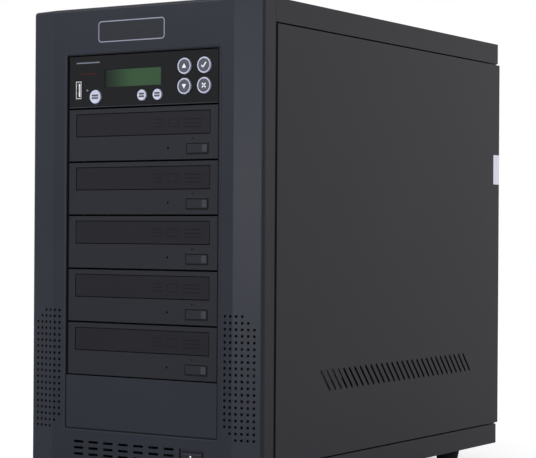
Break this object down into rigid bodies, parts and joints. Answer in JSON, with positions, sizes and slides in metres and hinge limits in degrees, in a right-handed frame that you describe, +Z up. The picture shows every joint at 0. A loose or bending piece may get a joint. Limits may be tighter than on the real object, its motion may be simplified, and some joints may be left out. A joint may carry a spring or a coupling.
{
  "type": "disc duplicator tower",
  "caption": "Upright tower that copies optical discs: stacked tray drives under a key and display panel, in a vented steel case with a moulded front.",
  "frame": {"origin": "on the floor under the middle of the tower's box", "axes": "+X to the right seen from the front, +Y to the back, +Z up; the front faces -Y"},
  "size_m": [0.2276, 0.4226, 0.399],
  "materials": {
    "moulded_front": "satin",
    "case_paint": "satin",
    "drive_front": "satin",
    "panel_gloss": "gloss",
    "zinc_steel": "satin",
    "display": "gloss",
    "circuit_board": "gloss",
    "socket_metal": "satin",
    "key_silver": "satin",
    "tray_plastic": "satin",
    "inner_plastic": "matte",
    "turntable": "satin",
    "sled": "satin",
    "foot_rubber": "matte",
    "cable_jacket": "satin",
    "fastener": "satin"
  },
  "bodies": {
    "tower": {"front_fascia": "moulded_front", "blank_bay_cover": "moulded_front", "chassis_base": "case_paint", "rear_panel": "case_paint", "top_cover": "case_paint", "left_side_panel": "case_paint", "right_side_panel": "case_paint", "drive_cage": "zinc_steel", "control_bezel": "panel_gloss", "lcd_module": "display", "controller_board": "circuit_board", "usb_socket": "socket_metal", "psu_case": "zinc_steel", "psu_inlet": "inner_plastic", "case_fan_frame": "inner_plastic", "feet": "foot_rubber", "screws": "fastener", "drive_cables": "cable_jacket", "drive_decks": "inner_plastic", "drive_1_housing": "zinc_steel", "drive_1_bezel": "drive_front", "drive_2_housing": "zinc_steel", "drive_2_bezel": "drive_front", "drive_3_housing": "zinc_steel", "drive_3_bezel": "drive_front", "drive_4_housing": "zinc_steel", "drive_4_bezel": "drive_front", "drive_5_housing": "zinc_steel", "drive_5_bezel": "drive_front"},
    "tray_1": {"drive_1_tray": "tray_plastic"},
    "eject_1": {"drive_1_eject_button": "drive_front"},
    "spindle_1": {"drive_1_spindle": "turntable"},
    "pickup_1": {"drive_1_pickup": "sled"},
    "tray_2": {"drive_2_tray": "tray_plastic"},
    "eject_2": {"drive_2_eject_button": "drive_front"},
    "spindle_2": {"drive_2_spindle": "turntable"},
    "pickup_2": {"drive_2_pickup": "sled"},
    "tray_3": {"drive_3_tray": "tray_plastic"},
    "eject_3": {"drive_3_eject_button": "drive_front"},
    "spindle_3": {"drive_3_spindle": "turntable"},
    "pickup_3": {"drive_3_pickup": "sled"},
    "tray_4": {"drive_4_tray": "tray_plastic"},
    "eject_4": {"drive_4_eject_button": "drive_front"},
    "spindle_4": {"drive_4_spindle": "turntable"},
    "pickup_4": {"drive_4_pickup": "sled"},
    "tray_5": {"drive_5_tray": "tray_plastic"},
    "eject_5": {"drive_5_eject_button": "drive_front"},
    "spindle_5": {"drive_5_spindle": "turntable"},
    "pickup_5": {"drive_5_pickup": "sled"},
    "up_key": {"up_button": "key_silver"},
    "down_key": {"down_button": "key_silver"},
    "ok_key": {"ok_button": "key_silver"},
    "cancel_key": {"cancel_button": "key_silver"},
    "copy_key": {"copy_button": "key_silver"},
    "previous_key": {"previous_button": "key_silver"},
    "next_key": {"next_button": "key_silver"},
    "power_key": {"power_button": "drive_front"},
    "case_fan": {"case_fan_rotor": "inner_plastic"},
    "psu_fan": {"psu_fan_rotor": "inner_plastic"},
    "mains_rocker": {"psu_rocker": "inner_plastic"}
  },
  "joints": [
    {"name": "tray_1_slide", "type": "slide", "parent": "tower", "child": "tray_1", "axis": [0, -1, 0], "range_m": [0, 0.135]},
    {"name": "eject_1_press", "type": "slide", "parent": "tower", "child": "eject_1", "axis": [0, 1, 0], "range_m": [0, 0.001], "stiffness_N_per_m": 400, "springref_m": -0.002},
    {"name": "pickup_1_slide", "type": "slide", "parent": "tower", "child": "pickup_1", "axis": [0, 1, 0], "range_m": [0, 0.034]},
    {"name": "spindle_1_spin", "type": "hinge", "parent": "tower", "child": "spindle_1", "pos_m": [0, -0.13685, 0.2973], "axis": [0, 0, 1], "continuous": true},
    {"name": "tray_2_slide", "type": "slide", "parent": "tower", "child": "tray_2", "axis": [0, -1, 0], "range_m": [0, 0.135]},
    {"name": "eject_2_press", "type": "slide", "parent": "tower", "child": "eject_2", "axis": [0, 1, 0], "range_m": [0, 0.001], "stiffness_N_per_m": 400, "springref_m": -0.002},
    {"name": "pickup_2_slide", "type": "slide", "parent": "tower", "child": "pickup_2", "axis": [0, 1, 0], "range_m": [0, 0.034]},
    {"name": "spindle_2_spin", "type": "hinge", "parent": "tower", "child": "spindle_2", "pos_m": [0, -0.13685, 0.2541], "axis": [0, 0, 1], "continuous": true},
    {"name": "tray_3_slide", "type": "slide", "parent": "tower", "child": "tray_3", "axis": [0, -1, 0], "range_m": [0, 0.135]},
    {"name": "eject_3_press", "type": "slide", "parent": "tower", "child": "eject_3", "axis": [0, 1, 0], "range_m": [0, 0.001], "stiffness_N_per_m": 400, "springref_m": -0.002},
    {"name": "pickup_3_slide", "type": "slide", "parent": "tower", "child": "pickup_3", "axis": [0, 1, 0], "range_m": [0, 0.034]},
    {"name": "spindle_3_spin", "type": "hinge", "parent": "tower", "child": "spindle_3", "pos_m": [0, -0.13685, 0.2109], "axis": [0, 0, 1], "continuous": true},
    {"name": "tray_4_slide", "type": "slide", "parent": "tower", "child": "tray_4", "axis": [0, -1, 0], "range_m": [0, 0.135]},
    {"name": "eject_4_press", "type": "slide", "parent": "tower", "child": "eject_4", "axis": [0, 1, 0], "range_m": [0, 0.001], "stiffness_N_per_m": 400, "springref_m": -0.002},
    {"name": "pickup_4_slide", "type": "slide", "parent": "tower", "child": "pickup_4", "axis": [0, 1, 0], "range_m": [0, 0.034]},
    {"name": "spindle_4_spin", "type": "hinge", "parent": "tower", "child": "spindle_4", "pos_m": [0, -0.13685, 0.1677], "axis": [0, 0, 1], "continuous": true},
    {"name": "tray_5_slide", "type": "slide", "parent": "tower", "child": "tray_5", "axis": [0, -1, 0], "range_m": [0, 0.135]},
    {"name": "eject_5_press", "type": "slide", "parent": "tower", "child": "eject_5", "axis": [0, 1, 0], "range_m": [0, 0.001], "stiffness_N_per_m": 400, "springref_m": -0.002},
    {"name": "pickup_5_slide", "type": "slide", "parent": "tower", "child": "pickup_5", "axis": [0, 1, 0], "range_m": [0, 0.034]},
    {"name": "spindle_5_spin", "type": "hinge", "parent": "tower", "child": "spindle_5", "pos_m": [0, -0.13685, 0.1245], "axis": [0, 0, 1], "continuous": true},
    {"name": "up_press", "type": "slide", "parent": "tower", "child": "up_key", "axis": [0, 1, 0], "range_m": [0, 0.0008], "stiffness_N_per_m": 300, "springref_m": -0.002},
    {"name": "down_press", "type": "slide", "parent": "tower", "child": "down_key", "axis": [0, 1, 0], "range_m": [0, 0.0008], "stiffness_N_per_m": 300, "springref_m": -0.002},
    {"name": "ok_press", "type": "slide", "parent": "tower", "child": "ok_key", "axis": [0, 1, 0], "range_m": [0, 0.0008], "stiffness_N_per_m": 300, "springref_m": -0.002},
    {"name": "cancel_press", "type": "slide", "parent": "tower", "child": "cancel_key", "axis": [0, 1, 0], "range_m": [0, 0.0008], "stiffness_N_per_m": 300, "springref_m": -0.002},
    {"name": "copy_press", "type": "slide", "parent": "tower", "child": "copy_key", "axis": [0, 1, 0], "range_m": [0, 0.0008], "stiffness_N_per_m": 300, "springref_m": -0.002},
    {"name": "previous_press", "type": "slide", "parent": "tower", "child": "previous_key", "axis": [0, 1, 0], "range_m": [0, 0.0008], "stiffness_N_per_m": 300, "springref_m": -0.002},
    {"name": "next_press", "type": "slide", "parent": "tower", "child": "next_key", "axis": [0, 1, 0], "range_m": [0, 0.0008], "stiffness_N_per_m": 300, "springref_m": -0.002},
    {"name": "power_press", "type": "slide", "parent": "tower", "child": "power_key", "axis": [0, 1, 0], "range_m": [0, 0.002], "stiffness_N_per_m": 300, "springref_m": -0.003},
    {"name": "case_fan_spin", "type": "hinge", "parent": "tower", "child": "case_fan", "pos_m": [0.01, 0.19635, 0.183], "axis": [0, 1, 0], "continuous": true},
    {"name": "psu_fan_spin", "type": "hinge", "parent": "tower", "child": "psu_fan", "pos_m": [-0.056, 0.19635, 0.3437], "axis": [0, 1, 0], "continuous": true},
    {"name": "mains_rocker_turn", "type": "hinge", "parent": "tower", "child": "mains_rocker", "pos_m": [0.022, 0.20635, 0.3617], "axis": [-1, 0, 0], "range_deg": [0, 20]}
  ]
}
